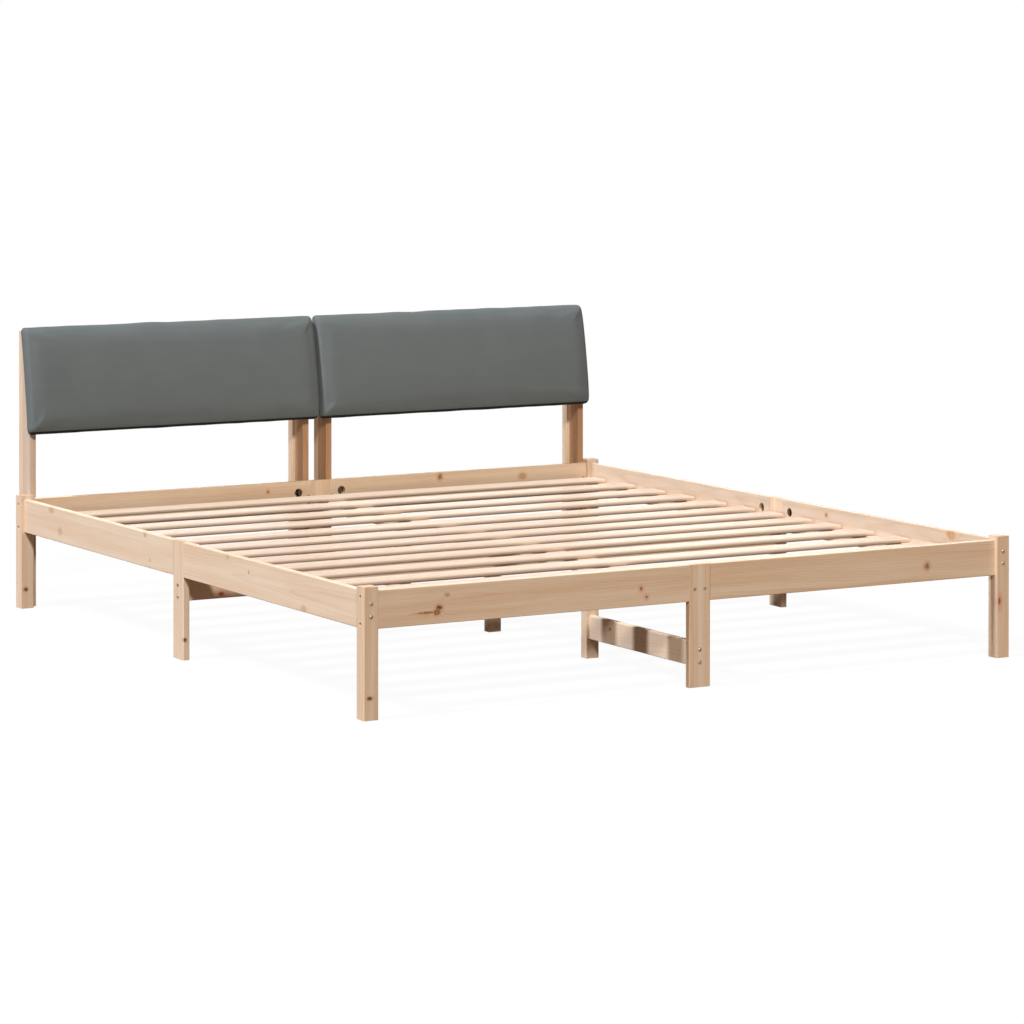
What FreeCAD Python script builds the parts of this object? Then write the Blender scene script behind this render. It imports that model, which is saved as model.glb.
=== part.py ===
# Double bed frame in solid pine with a two-part upholstered headboard, in millimetres.
#
# The frame stands with +Z up and its foot end towards -Y. The origin is on the floor, under the
# middle of the whole bed with its headboard. Two-part rails run between the corner legs and a
# middle leg on each side. Ledgers on the side rails and a centre beam on three posts carry the
# slats. Behind the head rail stand four pairs of a square upright and a tapered board. The leaning
# front edges of the boards carry the two padded panels.

import FreeCAD, Part
import math
import os
import Sketcher

Vector = FreeCAD.Vector
LEFT, RIGHT = -1, 1
FOOT, HEAD = -1, 1
SIDE_NAMES = {LEFT: "left", RIGHT: "right"}
END_NAMES = {FOOT: "foot", HEAD: "head"}

doc = FreeCAD.newDocument("bed_frame")

# Driving sizes. Heights are taken from the floor, widths along X and depths along Y.

DRIVING_SIZES = {
    # The space for the mattress, between the rails, and how deep it sinks below the rails' top.
    "mattress_width": 1800,
    "mattress_length": 2000,
    "mattress_sink": 38,
    # Corner legs, and the boards between them.
    "leg_side": 38,
    "leg_over": 10,
    "rail_thick": 18,
    "rail_height": 90,
    "rail_top": 300,
    "mid_leg_wide": 60,
    "edge_round": 2,
    # Ledgers on the side rails and the centre beam with its posts.
    "ledger_wide": 32,
    "ledger_height": 32,
    "beam_wide": 55,
    "beam_height": 32,
    "post_wide": 37,
    "post_deep": 27,
    # Braces along the bed and crossbeams across it, of one board.
    "brace_thick": 18,
    "brace_height": 60,
    "brace_under": 49,
    "crossbeam_under": 147,
    # Slats.
    "slat_wide": 70,
    "slat_thick": 12,
    "slat_end_gap": 8,
    "slat_round": 5.5,
    # Headboard posts: a tapered board in front of a square upright.
    "upright_side": 27,
    "board_thick": 18,
    "board_deep": 50,
    "board_tip": 4,
    "lean_start": 480,
    "headboard_top": 757,
    "inner_post_gap": 28,
    # Headboard pads: a back panel and the cushion in front of it. A pad hangs a little below the
    # bend of the boards and stands a little over their tips.
    "pad_gap": 6,
    "pad_drop": 5,
    "pad_over": 9,
    "pad_corner": 13,
    "panel_thick": 10,
    "panel_inset": 2,
    "cushion_thick": 30,
    "cushion_round": 12,
    "cushion_back_round": 3,
    "cushion_crown": 3,
    "cushion_gap": 0.3,
    # Bolts with button heads, all of one size. Each drop is from the top of the rails to the
    # upper bolt of a pair, and each step from there to the lower one.
    "bolt_radius": 3,
    "bolt_length": 58,
    "bolt_head_radius": 5,
    "bolt_head_top_radius": 3,
    "bolt_head_height": 3,
    "bolt_sink": 6,
    "tip_room": 3,
    "side_bolt_drop": 14,
    "side_bolt_step": 64,
    "end_bolt_drop": 29,
    "end_bolt_step": 30,
    "board_bolt_drop": 44,
    "board_bolt_step": 20,
    "joint_bolt_edge": 12,
    "joint_bolt_step": 31,
    # Studs through the middle legs, with a half-round barrel nut at each end.
    "stud_radius": 3,
    "stud_drop": 33,
    "cross_stud_edge": 21,
    "stud_over": 8,
    "nut_place": 69,
    "nut_radius": 12,
    "nut_length": 13,
    "nut_hole_deep": 15,
    # Wood screws with flat heads: through the centre legs into the beam, and from the back through
    # the uprights and boards into the panels.
    "screw_radius": 2.5,
    "beam_screw_length": 65,
    "screw_head_radius": 4.5,
    "screw_head_height": 3,
    "beam_screw_drop": 11,
    "beam_screw_aside": 14.4,
    "panel_screw_down": 105,
    "panel_bite": 8,
    # Room round every bolt, nut and screw in its hole.
    "fit_gap": 0.15,
}

# Middle lines of the slats, as shares of the mattress length from the foot rail.
SLAT_PLACE_SHARES = (0.0395, 0.121, 0.1965, 0.2755, 0.353, 0.42, 0.4915,
                     0.562, 0.636, 0.72, 0.7975, 0.8805, 0.964)

sheet = doc.addObject("Spreadsheet::Sheet", "sizes")
for row, (alias, number) in enumerate(DRIVING_SIZES.items(), start=1):
    sheet.set(f"A{row}", str(number))
    sheet.setAlias(f"A{row}", alias)

# Places and lengths that follow from the driving sizes.

DERIVED_SIZES = {
    # Legs stand centred on the rails, so each leg face stands this far out from its rail.
    "setback": "(sizes.leg_side - sizes.rail_thick) / 2",
    "half_width": "sizes.mattress_width / 2 + sizes.rail_thick + setback",
    "whole_depth": "sizes.bolt_head_height + setback + 2 * sizes.rail_thick"
                   " + sizes.mattress_length + sizes.board_deep + sizes.upright_side",
    # Along Y: outer face of the foot legs, inner faces of the end rails, rear of the head rail.
    "foot_face": "sizes.bolt_head_height - whole_depth / 2",
    "bed_foot": "foot_face + setback + sizes.rail_thick",
    "bed_head": "bed_foot + sizes.mattress_length",
    "bed_middle": "(bed_foot + bed_head) / 2",
    "head_back": "bed_head + sizes.rail_thick",
    "foot_line": "bed_foot - sizes.rail_thick / 2",
    "head_line": "bed_head + sizes.rail_thick / 2",
    "side_line": "(sizes.mattress_width + sizes.rail_thick) / 2",
    "leg_height": "sizes.rail_top + sizes.leg_over",
    "rail_middle": "sizes.rail_top - sizes.rail_height / 2",
    "end_rail_length": "side_line - sizes.leg_side / 2 - sizes.mid_leg_wide / 2",
    "side_rail_length": "sizes.mattress_length / 2 + sizes.rail_thick / 2"
                        " - sizes.leg_side / 2 - sizes.mid_leg_wide / 2",
    "end_rail_place": "(sizes.mid_leg_wide + end_rail_length) / 2",
    "side_rail_place": "(sizes.mid_leg_wide + side_rail_length) / 2",
    # Heights of the slats, and of what carries them.
    "slat_top": "sizes.rail_top - sizes.mattress_sink",
    "slat_under": "slat_top - sizes.slat_thick",
    "slat_length": "sizes.mattress_width - 2 * sizes.slat_end_gap",
    "ledger_line": "(sizes.mattress_width - sizes.ledger_wide) / 2",
    "ledger_length": "(sizes.mattress_length + sizes.rail_thick - sizes.leg_side) / 2",
    "ledger_middle": "slat_under - sizes.ledger_height / 2",
    "beam_length": "sizes.mattress_length / 2",
    "beam_middle": "slat_under - sizes.beam_height / 2",
    "post_height": "slat_under - sizes.beam_height",
    "brace_length": "(beam_length - sizes.post_deep) / 2",
    "brace_middle": "sizes.brace_under + sizes.brace_height / 2",
    "crossbeam_length": "(sizes.mattress_width - sizes.post_wide) / 2",
    "crossbeam_middle": "sizes.crossbeam_under + sizes.brace_height / 2",
    # Headboard: middle lines of the posts, the lean of the boards, and the pads on them.
    "outer_board_line": "half_width - sizes.leg_side - sizes.board_thick / 2",
    "inner_board_line": "sizes.inner_post_gap + sizes.board_thick / 2",
    "outer_upright_line": "half_width - sizes.leg_side - sizes.upright_side / 2",
    "inner_upright_line": "sizes.inner_post_gap + sizes.upright_side / 2",
    "upright_back": "head_back + sizes.board_deep + sizes.upright_side",
    "lean_rise": "sizes.headboard_top - sizes.lean_start",
    "lean_run": "sizes.board_deep - sizes.board_tip",
    "lean_slope": "sqrt(lean_rise ^ 2 + lean_run ^ 2)",
    "pad_wide": "(sizes.mattress_width - sizes.pad_gap) / 2",
    "pad_line": "(pad_wide + sizes.pad_gap) / 2",
    "pad_height": "sizes.pad_drop + lean_slope + sizes.pad_over",
    "pad_up": "pad_height / 2 - sizes.pad_drop",
    "pad_back": "head_back + pad_up * lean_run / lean_slope",
    "pad_middle": "sizes.lean_start + pad_up * lean_rise / lean_slope",
    # Holes: radii with their room, and depths from what goes in.
    "bolt_hole": "sizes.bolt_radius + sizes.fit_gap",
    "bolt_head_hole": "sizes.bolt_head_radius + sizes.fit_gap",
    "stud_hole": "sizes.stud_radius + sizes.fit_gap",
    "stud_half": "sizes.nut_place + sizes.stud_over",
    "nut_hole": "sizes.nut_radius + sizes.fit_gap",
    "screw_hole": "sizes.screw_radius + sizes.fit_gap",
    "screw_head_hole": "sizes.screw_head_radius + sizes.fit_gap",
    "bolt_deep_past_leg": "sizes.bolt_length - sizes.leg_side + sizes.tip_room",
    "bolt_deep_past_sunk": "bolt_deep_past_leg + sizes.bolt_sink",
    "bolt_deep_past_rail": "sizes.bolt_length - sizes.rail_thick + sizes.tip_room",
    "screw_deep_past_rail": "sizes.beam_screw_length - sizes.rail_thick + sizes.tip_room",
    # Heights of the bolts, studs and screws.
    "side_bolt_upper": "sizes.rail_top - sizes.side_bolt_drop",
    "side_bolt_lower": "side_bolt_upper - sizes.side_bolt_step",
    "end_bolt_upper": "sizes.rail_top - sizes.end_bolt_drop",
    "end_bolt_lower": "end_bolt_upper - sizes.end_bolt_step",
    "board_bolt_upper": "sizes.rail_top - sizes.board_bolt_drop",
    "board_bolt_lower": "board_bolt_upper - sizes.board_bolt_step",
    "stud_height": "sizes.rail_top - sizes.stud_drop",
    "cross_stud_height": "sizes.crossbeam_under + sizes.cross_stud_edge",
    "beam_screw_height": "slat_under - sizes.beam_screw_drop",
    # The panel screws stand square to the uprights. Their length is what the upright and the
    # tapered board measure there, and the bite into the panel.
    "panel_screw_rise": "(lean_slope + sizes.pad_over - sizes.panel_screw_down)"
                        " * lean_rise / lean_slope",
    "panel_screw_height": "sizes.lean_start + panel_screw_rise",
    "panel_screw_length": "sizes.upright_side + sizes.board_deep + sizes.panel_bite"
                          " - panel_screw_rise * lean_run / lean_rise",
    "panel_hole": "screw_hole + sizes.panel_bite * lean_run / lean_rise",
}

derived = doc.addObject("App::VarSet", "derived")
for name, formula in DERIVED_SIZES.items():
    derived.addProperty("App::PropertyFloat", name)
    derived.setExpression(name, formula)
doc.recompute()


def value(name):
    """Present value of a driving or derived size."""
    if name in DRIVING_SIZES:
        return float(sheet.get(name))
    return getattr(derived, name)


# Ways of making the wooden pieces.

PLANES = {
    # Run of the piece or hole: the origin plane square to it, and which way that plane faces.
    "X": ("YZ_Plane", 1),
    "Y": ("XZ_Plane", -1),
    "Z": ("XY_Plane", 1),
}


def new_body(label, place):
    """A body whose origin lies at three formulas."""
    body = doc.addObject("PartDesign::Body", label)
    body.Label = label
    for axis, formula in zip("xyz", place):
        body.setExpression(f"Placement.Base.{axis}", formula)
    return body


def new_sketch(body, name, run, offset="0"):
    """A sketch square to the run, moved along it by the offset."""
    role, facing = PLANES[run]
    plane = next(part for part in body.Origin.OriginFeatures if part.Role == role)
    sketch = body.newObject("Sketcher::SketchObject", name)
    sketch.AttachmentSupport = (plane, [""])
    sketch.MapMode = "FlatFace"
    sketch.setExpression("AttachmentOffset.Base.z", f"{facing} * ({offset})")
    return sketch


def bind(sketch, kind, *where_and_formula):
    """A dimension between two places of the sketch, bound to a formula."""
    *where, formula = where_and_formula
    index = sketch.addConstraint(Sketcher.Constraint(kind, *where, 1.0))
    sketch.setExpression(f"Constraints[{index}]", formula)


def draw_rectangle(sketch, wide, high):
    """A rectangle centred on the sketch's origin."""
    corners = [Vector(-1, -1, 0), Vector(1, -1, 0), Vector(1, 1, 0), Vector(-1, 1, 0)]
    count = len(corners)
    for index, corner in enumerate(corners):
        sketch.addGeometry(Part.LineSegment(corner, corners[(index + 1) % count]))
    for index, way in enumerate(("Horizontal", "Vertical", "Horizontal", "Vertical")):
        sketch.addConstraint(Sketcher.Constraint("Coincident", index, 2, (index + 1) % count, 1))
        sketch.addConstraint(Sketcher.Constraint(way, index))
    sketch.addConstraint(Sketcher.Constraint("Symmetric", 0, 1, 2, 1, -1, 1))
    bind(sketch, "DistanceX", 0, 1, 0, 2, wide)
    bind(sketch, "DistanceY", 1, 1, 1, 2, high)


def ease_edges(body, run, radius):
    """Rounds the edges that run along the piece."""
    body_end = body.Tip
    direction = "XYZ".index(run)
    names = []
    for index, edge in enumerate(body_end.Shape.Edges, start=1):
        if round(edge.tangentAt(edge.FirstParameter)[direction]):
            names.append(f"Edge{index}")
    fillet = body.newObject("PartDesign::Fillet", body.Label + "_eased")
    fillet.Base = (body_end, names)
    fillet.setExpression("Radius", radius)


def add_stick(label, run, wide, high, length, place, radius="sizes.edge_round", from_floor=False):
    """A board or square stock: its section, its length along the run, and its eased edges."""
    body = new_body(label, place)
    sketch = new_sketch(body, label + "_section", run)
    draw_rectangle(sketch, wide, high)
    pad = body.newObject("PartDesign::Pad", label + "_length")
    pad.Profile = sketch
    pad.setExpression("Length", length)
    pad.SideType = "One side" if from_floor else "Symmetric"
    doc.recompute()
    ease_edges(body, run, radius)
    return body


def drill(body, name, run, start, way, radius, places, depth=None):
    """Round holes from a start along the run, one way, to a depth or right through."""
    sketch = new_sketch(body, f"{body.Label}_{name}_circles", run, start)
    for across, along in places:
        circle = sketch.addGeometry(Part.Circle(Vector(0, 0, 0), Vector(0, 0, 1), 1))
        bind(sketch, "Radius", circle, radius)
        bind(sketch, "DistanceX", -1, 1, circle, 3, across)
        bind(sketch, "DistanceY", -1, 1, circle, 3, along)
    pocket = body.newObject("PartDesign::Pocket", f"{body.Label}_{name}")
    pocket.Profile = sketch
    pocket.Reversed = way == PLANES[run][1]
    if depth is None:
        pocket.Type = "ThroughAll"
    else:
        pocket.setExpression("Length", depth)


def drill_for_screws(body, name, run, face, way, places):
    """Through holes for wood screws, with a recess in the face where the heads lie flush."""
    drill(body, name, run, face, way, "derived.screw_hole", places)
    drill(body, name + "_recess", run, face, way, "derived.screw_head_hole", places,
          "sizes.screw_head_height")


# Corner legs: two bolts through each outer face into the end grain of the rails.

SIDE_BOLTS = ("derived.side_bolt_upper", "derived.side_bolt_lower")
END_BOLTS = ("derived.end_bolt_upper", "derived.end_bolt_lower")
BOARD_BOLTS = ("derived.board_bolt_upper", "derived.board_bolt_lower")
LINES = {FOOT: "derived.foot_line", HEAD: "derived.head_line"}


def add_corner_leg(side, end):
    """A square leg. The bolts of its side face are sunk, those of its end face are not."""
    place = (f"{side} * derived.side_line", LINES[end], "0")
    leg = add_stick(f"leg_{END_NAMES[end]}_{SIDE_NAMES[side]}", "Z", "sizes.leg_side",
                    "sizes.leg_side", "derived.leg_height", place, from_floor=True)
    side_places = [("0", height) for height in SIDE_BOLTS]
    end_places = [("0", height) for height in END_BOLTS]
    side_face = f"{side} * sizes.leg_side / 2"
    drill(leg, "side_bolts", "X", side_face, -side, "derived.bolt_hole", side_places)
    drill(leg, "side_sinks", "X", side_face, -side, "derived.bolt_head_hole", side_places,
          "sizes.bolt_sink")
    drill(leg, "end_bolts", "Y", f"{end} * sizes.leg_side / 2", -end, "derived.bolt_hole",
          end_places)


for end in (FOOT, HEAD):
    for side in (LEFT, RIGHT):
        add_corner_leg(side, end)


# Middle legs: boards that stand in the plane of the rails, between the ends of the two segments.

def joint_heights(under):
    """Heights of the two bolts in the end of a brace or crossbeam, from its underside."""
    low = f"{under} + sizes.joint_bolt_edge"
    return (low, f"{low} + sizes.joint_bolt_step")


def add_side_leg(side):
    """Middle leg of a side rail. A crossbeam is bolted to its inner face."""
    leg = add_stick(f"mid_leg_{SIDE_NAMES[side]}", "Z", "sizes.rail_thick",
                    "sizes.mid_leg_wide", "sizes.rail_top",
                    (f"{side} * derived.side_line", "derived.bed_middle", "0"), from_floor=True)
    drill(leg, "stud", "Y", "-sizes.mid_leg_wide / 2", RIGHT, "derived.stud_hole",
          [("0", "derived.stud_height")])
    drill(leg, "crossbeam_bolts", "X", f"{side} * sizes.rail_thick / 2", -side,
          "derived.bolt_hole",
          [("0", height) for height in joint_heights("sizes.crossbeam_under")])


def add_centre_leg(end):
    """Middle leg of an end rail. The centre beam and a brace end on its inner face."""
    leg = add_stick(f"centre_leg_{END_NAMES[end]}", "Z", "sizes.mid_leg_wide",
                    "sizes.rail_thick", "sizes.rail_top", ("0", LINES[end], "0"),
                    from_floor=True)
    drill(leg, "stud", "X", "-sizes.mid_leg_wide / 2", RIGHT, "derived.stud_hole",
          [("0", "derived.stud_height")])
    face = f"{end} * sizes.rail_thick / 2"
    drill_for_screws(leg, "beam_screws", "Y", face, -end,
                     [(f"{side} * sizes.beam_screw_aside", "derived.beam_screw_height")
                      for side in (LEFT, RIGHT)])
    drill(leg, "brace_bolts", "Y", face, -end, "derived.bolt_hole",
          [("0", height) for height in joint_heights("sizes.brace_under")])


for side in (LEFT, RIGHT):
    add_side_leg(side)
for end in (FOOT, HEAD):
    add_centre_leg(end)


# Rails: each has a pilot hole for every corner bolt at one end, and at the other end a bore for
# the stud, crossed from the inner face by the hole of the barrel nut.

def add_rail_holes(rail, run, length, outward, inward, bolts, bolt_deep, thick_run):
    """Holes of one segment. Outward points to the corner leg, inward to the mattress."""
    outer_end = f"{outward} * {length} / 2"
    inner_end = f"-{outward} * {length} / 2"
    bolt_places = [("0", f"{height} - derived.rail_middle") for height in bolts]
    drill(rail, "bolts", run, outer_end, -outward, "derived.bolt_hole", bolt_places, bolt_deep)
    stud_level = "derived.stud_height - derived.rail_middle"
    drill(rail, "stud", run, inner_end, outward, "derived.stud_hole", [("0", stud_level)],
          "derived.stud_half + sizes.tip_room - sizes.mid_leg_wide / 2")
    nut = f"{inner_end} + {outward} * (sizes.nut_place - sizes.mid_leg_wide / 2)"
    drill(rail, "nut", thick_run, f"{inward} * sizes.rail_thick / 2", -inward,
          "derived.nut_hole", [(nut, stud_level)], "sizes.nut_hole_deep")


def add_end_rail(end, side):
    """Half of the foot rail or head rail."""
    rail = add_stick(f"rail_{END_NAMES[end]}_{SIDE_NAMES[side]}", "X", "sizes.rail_thick",
                     "sizes.rail_height", "derived.end_rail_length",
                     (f"{side} * derived.end_rail_place", LINES[end], "derived.rail_middle"))
    add_rail_holes(rail, "X", "derived.end_rail_length", side, -end, SIDE_BOLTS,
                   "derived.bolt_deep_past_sunk", "Y")
    if end == HEAD:
        places = []
        for line in ("derived.outer_board_line", "derived.inner_board_line"):
            for height in BOARD_BOLTS:
                places.append((f"{side} * ({line} - derived.end_rail_place)",
                               f"{height} - derived.rail_middle"))
        drill(rail, "board_bolts", "Y", "-sizes.rail_thick / 2", RIGHT, "derived.bolt_hole",
              places)


def add_side_rail(side, end):
    """Half of a side rail."""
    rail = add_stick(f"rail_{SIDE_NAMES[side]}_{END_NAMES[end]}", "Y", "sizes.rail_thick",
                     "sizes.rail_height", "derived.side_rail_length",
                     (f"{side} * derived.side_line",
                      f"derived.bed_middle + {end} * derived.side_rail_place",
                      "derived.rail_middle"))
    add_rail_holes(rail, "Y", "derived.side_rail_length", end, -side, END_BOLTS,
                   "derived.bolt_deep_past_leg", "X")


for end in (FOOT, HEAD):
    for side in (LEFT, RIGHT):
        add_end_rail(end, side)
for side in (LEFT, RIGHT):
    for end in (FOOT, HEAD):
        add_side_rail(side, end)


# Ledgers: square stock glued along the inside of the side rails, one length to a segment. The
# two lengths meet across the middle leg. The slats rest on them.

def add_ledger(side, end):
    """One length of ledger."""
    middle = f"derived.bed_middle + {end} * derived.ledger_length / 2"
    add_stick(f"ledger_{SIDE_NAMES[side]}_{END_NAMES[end]}", "Y", "sizes.ledger_wide",
              "sizes.ledger_height", "derived.ledger_length",
              (f"{side} * derived.ledger_line", middle, "derived.ledger_middle"))


for side in (LEFT, RIGHT):
    for end in (FOOT, HEAD):
        add_ledger(side, end)


# Centre beam: two lengths that meet over the middle post, each screwed to its centre leg.

def add_beam(end):
    """One length of the centre beam."""
    beam = add_stick(f"beam_{END_NAMES[end]}", "Y", "sizes.beam_wide", "sizes.beam_height",
                     "derived.beam_length",
                     ("0", f"derived.bed_middle + {end} * derived.beam_length / 2",
                      "derived.beam_middle"))
    level = "derived.beam_screw_height - derived.beam_middle"
    places = [(f"{side} * sizes.beam_screw_aside", level) for side in (LEFT, RIGHT)]
    drill(beam, "leg_pilots", "Y", f"{end} * derived.beam_length / 2", -end,
          "derived.screw_hole", places, "derived.screw_deep_past_rail")


for end in (FOOT, HEAD):
    add_beam(end)


# Posts under the centre beam: one where its two lengths meet, and one under the middle of each
# length. A brace ends on the near face of each end post, and a crossbeam on each side of the
# middle post, where a stud runs through.

def add_post(name, line):
    """One post from the floor to the beam."""
    return add_stick(f"post_{name}", "Z", "sizes.post_wide", "sizes.post_deep",
                     "derived.post_height", ("0", line, "0"), from_floor=True)


for end in (FOOT, HEAD):
    add_post(END_NAMES[end], f"derived.bed_middle + {end} * derived.beam_length / 2")
middle_post = add_post("middle", "derived.bed_middle")
drill(middle_post, "stud", "X", "-sizes.post_wide / 2", RIGHT, "derived.stud_hole",
      [("0", "derived.cross_stud_height")])


# Crossbeams from the middle legs to the middle post, and braces from the centre legs to the
# other posts.

def add_crossbeam(side):
    """Board across the bed, bolted at the leg and held by a stud and barrel nut at the post."""
    beam = add_stick(f"crossbeam_{SIDE_NAMES[side]}", "X", "sizes.brace_thick",
                     "sizes.brace_height", "derived.crossbeam_length",
                     (f"{side} * (sizes.post_wide + derived.crossbeam_length) / 2",
                      "derived.bed_middle", "derived.crossbeam_middle"))
    places = [("0", f"{height} - derived.crossbeam_middle")
              for height in joint_heights("sizes.crossbeam_under")]
    drill(beam, "leg_pilots", "X", f"{side} * derived.crossbeam_length / 2", -side,
          "derived.bolt_hole", places, "derived.bolt_deep_past_rail")
    level = "derived.cross_stud_height - derived.crossbeam_middle"
    post_end = f"-{side} * derived.crossbeam_length / 2"
    drill(beam, "stud", "X", post_end, side, "derived.stud_hole", [("0", level)],
          "derived.stud_half + sizes.tip_room - sizes.post_wide / 2")
    nut = f"{post_end} + {side} * (sizes.nut_place - sizes.post_wide / 2)"
    drill(beam, "nut", "Y", "sizes.brace_thick / 2", -1, "derived.nut_hole", [(nut, level)],
          "sizes.nut_hole_deep")


def add_brace(end):
    """Board along the bed, low between the centre leg and the post."""
    centre = f"{end} * (derived.beam_length - derived.brace_length / 2)"
    brace = add_stick(f"brace_{END_NAMES[end]}", "Y", "sizes.brace_thick", "sizes.brace_height",
                      "derived.brace_length",
                      ("0", f"derived.bed_middle + {centre}", "derived.brace_middle"))
    places = [("0", f"{height} - derived.brace_middle")
              for height in joint_heights("sizes.brace_under")]
    drill(brace, "leg_pilots", "Y", f"{end} * derived.brace_length / 2", -end,
          "derived.bolt_hole", places, "derived.bolt_deep_past_rail")


for side in (LEFT, RIGHT):
    add_crossbeam(side)
for end in (FOOT, HEAD):
    add_brace(end)


# Slats with well rounded edges, across both ledgers and the centre beam.

def add_slat(number, share):
    """One slat across the whole bed."""
    line = f"derived.bed_foot + {share} * sizes.mattress_length"
    add_stick(f"slat_{number:02d}", "X", "sizes.slat_wide", "sizes.slat_thick",
              "derived.slat_length", ("0", line, "derived.slat_under + sizes.slat_thick / 2"),
              radius="sizes.slat_round")


for number, share in enumerate(SLAT_PLACE_SHARES, start=1):
    add_slat(number, share)


# Headboard posts. The board's front edge is upright as far as lean_start and then leans back,
# so that it carries the pad at a comfortable slope. The upright behind stands square.

POST_LINES = {"outer": ("derived.outer_board_line", "derived.outer_upright_line"),
              "inner": ("derived.inner_board_line", "derived.inner_upright_line")}


def draw_board_side(sketch):
    """Side view of the tapered board, from its lower front corner."""
    deep, top = value("board_deep"), value("headboard_top")
    corners = [Vector(0, 0, 0), Vector(deep, 0, 0), Vector(deep, top, 0),
               Vector(deep - value("board_tip"), top, 0), Vector(0, value("lean_start"), 0)]
    count = len(corners)
    for index, corner in enumerate(corners):
        sketch.addGeometry(Part.LineSegment(corner, corners[(index + 1) % count]))
    for index in range(count):
        sketch.addConstraint(Sketcher.Constraint("Coincident", index, 2, (index + 1) % count, 1))
    for index, way in ((0, "Horizontal"), (1, "Vertical"), (2, "Horizontal"), (4, "Vertical")):
        sketch.addConstraint(Sketcher.Constraint(way, index))
    sketch.addConstraint(Sketcher.Constraint("Coincident", 0, 1, -1, 1))
    bind(sketch, "DistanceX", 0, 1, 0, 2, "sizes.board_deep")
    bind(sketch, "DistanceY", 1, 1, 1, 2, "sizes.headboard_top")
    bind(sketch, "DistanceX", 2, 2, 2, 1, "sizes.board_tip")
    bind(sketch, "DistanceY", 4, 2, 4, 1, "sizes.lean_start")


def add_board(side, post):
    """Tapered board, bolted to the head rail and glued to the upright behind it."""
    board = new_body(f"board_{SIDE_NAMES[side]}_{post}",
                     (f"{side} * {POST_LINES[post][0]}", "derived.head_back", "0"))
    sketch = new_sketch(board, board.Label + "_side", "X")
    draw_board_side(sketch)
    pad = board.newObject("PartDesign::Pad", board.Label + "_thickness")
    pad.Profile = sketch
    pad.setExpression("Length", "sizes.board_thick")
    pad.SideType = "Symmetric"
    drill(board, "rail_bolts", "Y", "0", RIGHT, "derived.bolt_hole",
          [("0", height) for height in BOARD_BOLTS], "derived.bolt_deep_past_rail")
    drill(board, "panel_screw", "Y", "sizes.board_deep", LEFT, "derived.screw_hole",
          [("0", "derived.panel_screw_height")])


def add_upright(side, post):
    """Square upright behind the board. The screw of the panel goes through it from the back."""
    board_line, upright_line = POST_LINES[post]
    upright = add_stick(f"upright_{SIDE_NAMES[side]}_{post}", "Z", "sizes.upright_side",
                        "sizes.upright_side", "sizes.headboard_top",
                        (f"{side} * {upright_line}",
                         "derived.head_back + sizes.board_deep + sizes.upright_side / 2", "0"),
                        from_floor=True)
    aside = f"{side} * ({board_line} - {upright_line})"
    drill_for_screws(upright, "panel_screw", "Y", "sizes.upright_side / 2", LEFT,
                     [(aside, "derived.panel_screw_height")])


for side in (LEFT, RIGHT):
    for post in ("outer", "inner"):
        add_board(side, post)
        add_upright(side, post)


# Pads. The origin of each pad is the middle of its back, on the leaning line of the boards, with
# Z up the slope and -Y out of the front.

def lean_back(body, side):
    """Places a body as a pad lies on the boards."""
    for axis, formula in zip("xyz", (f"{side} * derived.pad_line", "derived.pad_back",
                                     "derived.pad_middle")):
        body.setExpression(f"Placement.Base.{axis}", formula)
    body.Placement.Rotation = FreeCAD.Rotation(Vector(-1, 0, 0), 1)
    body.setExpression("Placement.Rotation.Angle",
                       "atan(derived.lean_run / derived.lean_rise)")


def add_back_panel(side):
    """Board of the pad, with rounded corners. It lies flat on the edges of the boards."""
    panel = new_body(f"back_panel_{SIDE_NAMES[side]}", ())
    lean_back(panel, side)
    sketch = new_sketch(panel, panel.Label + "_outline", "Y")
    draw_rectangle(sketch, "derived.pad_wide - 2 * sizes.panel_inset",
                   "derived.pad_height - 2 * sizes.panel_inset")
    pad = panel.newObject("PartDesign::Pad", panel.Label + "_thickness")
    pad.Profile = sketch
    pad.setExpression("Length", "sizes.panel_thick")
    doc.recompute()
    ease_edges(panel, "Y", "sizes.pad_corner - sizes.panel_inset")
    level = ("(derived.panel_screw_height - derived.pad_middle)"
             " * derived.lean_slope / derived.lean_rise")
    places = [(f"{side} * ({line} - derived.pad_line)", level)
              for line in ("derived.outer_board_line", "derived.inner_board_line")]
    drill(panel, "screw_holes", "Y", "0", -1, "derived.panel_hole", places)
    return panel


# Crown of the cushion along its width: place from one side, and how much of the crown is there.
CROWN_SHARES = ((0.06, 0.55), (0.2, 0.9), (0.5, 1.0), (0.8, 0.9), (0.94, 0.55))
END_CROWN_SHARE = 0.1
FRONT_ROUND_SHARE = 0.6
ROUND_SHARES = (0.0, 0.12, 0.35, 0.7, 1.0)


def quarter_round(radius, along):
    """How far a quarter circle still stays in, at a distance along from its start."""
    if along >= radius:
        return 0.0
    return radius - math.sqrt(radius ** 2 - (radius - along) ** 2)


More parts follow.
